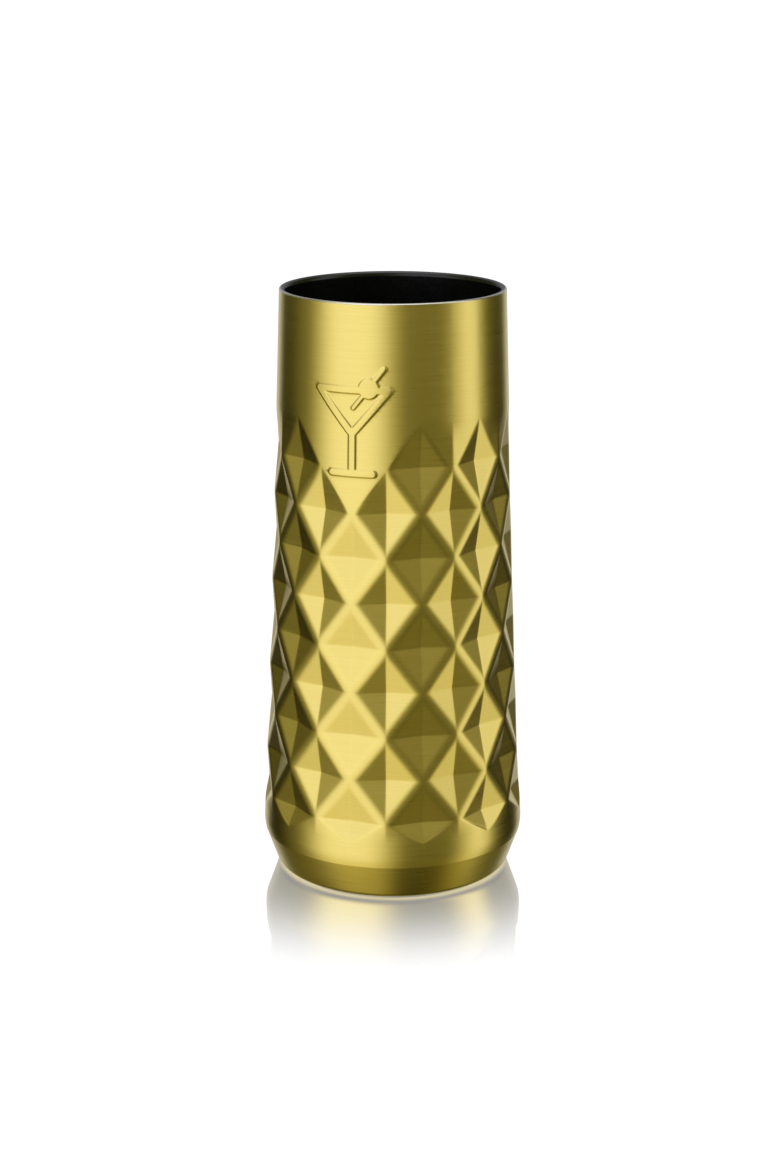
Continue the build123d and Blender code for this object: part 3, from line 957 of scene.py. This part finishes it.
def light_strength(tree, around, aside, height):
    """Strength of the studio's light in a direction: soft boxes at the sides, backdrop, floor and ceiling."""
    def fade(source, span, values):
        return ramp(tree, source, span, values, smooth=True)

    total = 0.0
    for rising, falling, strength, low_share in SOFT_BOXES:
        up = fade(around, rising, (0, strength))
        down = fade(around, falling, (1, 0))
        lower = fade(height, LOW_SHARE_HEIGHTS, (low_share, 1))
        total = math_node(tree, "MULTIPLY_ADD", math_node(tree, "MULTIPLY", up, down), lower, total)
    total = math_node(tree, "ADD", total, fade(aside, AMBIENT_AZIMUTHS, AMBIENT))
    backdrop = fade(aside, BACKDROP_AZIMUTHS, (0, BACKDROP))
    backdrop_share = fade(height, BACKDROP_HEIGHTS, (1, BACKDROP_HIGH_SHARE))
    total = math_node(tree, "MULTIPLY_ADD", backdrop, backdrop_share, total)
    total = math_node(tree, "ADD", total, fade(height, AMBIENT_HIGH_HEIGHTS, (0, AMBIENT_HIGH)))
    total = math_node(tree, "MULTIPLY", total, fade(height, FLOOR_BOUNCE_HEIGHTS, (FLOOR_BOUNCE, 1)))
    total = math_node(tree, "MULTIPLY", total, fade(height, UPPER_HEIGHTS, (1, UPPER_SHARE)))
    glow_start = fade(height, FLOOR_GLOW_START, (0, 1))
    total = math_node(tree, "MULTIPLY_ADD", fade(height, FLOOR_GLOW_END, (FLOOR_GLOW, 0)), glow_start, total)
    return math_node(tree, "MAXIMUM", total, fade(height, OVERHEAD_HEIGHTS, (0, OVERHEAD)))


def light_colour(tree, strength, aside, height):
    """Colour of the studio's light in a direction."""
    bright = ramp(tree, strength, DIM_STRENGTHS, (0, 1))
    behind = ramp(tree, aside, BACKDROP_WHITE_AZIMUTHS, (0, 1), smooth=True)
    dim = colour_between(tree, math_node(tree, "MAXIMUM", bright, behind), DIM_TINT, WHITE)
    above_floor = ramp(tree, height, BOUNCE_TINT_HEIGHTS, (0, 1), smooth=True)
    above_horizon = ramp(tree, height, UPPER_TINT_HEIGHTS, (0, 1), smooth=True)
    bounce = colour_between(tree, above_floor, BOUNCE_TINT, WHITE)
    upper = colour_between(tree, above_horizon, WHITE, UPPER_TINT)
    return multiply_colours(tree, multiply_colours(tree, dim, bounce), upper)


def make_world():
    """A studio laid out by direction; the camera and mirrors see it as plain white."""
    world = bpy.data.worlds.new("studio")
    bpy.context.scene.world = world
    world.use_nodes = True
    tree = world.node_tree
    place = tree.nodes.new("ShaderNodeTexCoord")
    split = tree.nodes.new("ShaderNodeSeparateXYZ")
    tree.links.new(place.outputs["Generated"], split.inputs["Vector"])
    x, y, z = (split.outputs[name] for name in "XYZ")
    azimuth = math_node(tree, "ARCTAN2", x, math_node(tree, "MULTIPLY", y, -1.0))
    azimuth = math_node(tree, "MULTIPLY_ADD", azimuth, math.degrees(1), -CAMERA_AZIMUTH)
    around = math_node(tree, "WRAP", azimuth, 180.0, -180.0)
    aside = math_node(tree, "ABSOLUTE", around)
    height = math_node(tree, "MULTIPLY", math_node(tree, "ARCSINE", z), math.degrees(1))
    strength = light_strength(tree, around, aside, height)
    light = tree.nodes["Background"]
    tree.links.new(light_colour(tree, strength, aside, height), light.inputs["Color"])
    tree.links.new(strength, light.inputs["Strength"])
    surround = add_node(tree, "ShaderNodeBackground", Color=(*WHITE, 1), Strength=FLOOR_WHITE)
    path = tree.nodes.new("ShaderNodeLightPath")
    plain = math_node(tree, "MAXIMUM", path.outputs["Is Camera Ray"], path.outputs["Is Singular Ray"])
    blend_shaders(tree, plain, light, surround, "World Output")
    world.cycles.sampling_method = "MANUAL"
    world.cycles.sample_map_resolution = LIGHT_MAP_SIZE


def make_camera():
    """The camera, looking down at the vessel from beside its emblem."""
    data = bpy.data.cameras.new("camera")
    camera = bpy.data.objects.new("camera", data)
    bpy.context.scene.collection.objects.link(camera)
    data.lens = LENS
    data.sensor_width = SENSOR
    turn = math.radians(CAMERA_AZIMUTH)
    camera.location = (
        math.sin(turn) * CAMERA_DISTANCE * MM,
        -math.cos(turn) * CAMERA_DISTANCE * MM,
        CAMERA_HEIGHT * MM,
    )
    pan = Matrix.Rotation(turn + math.radians(CAMERA_YAW), 4, "Z")
    tilt = Matrix.Rotation(math.radians(90 - CAMERA_TILT), 4, "X")
    camera.rotation_euler = (pan @ tilt).to_euler()
    bpy.context.scene.camera = camera


make_floor()
make_world()
make_camera()
bpy.context.scene.view_settings.view_transform = "Standard"
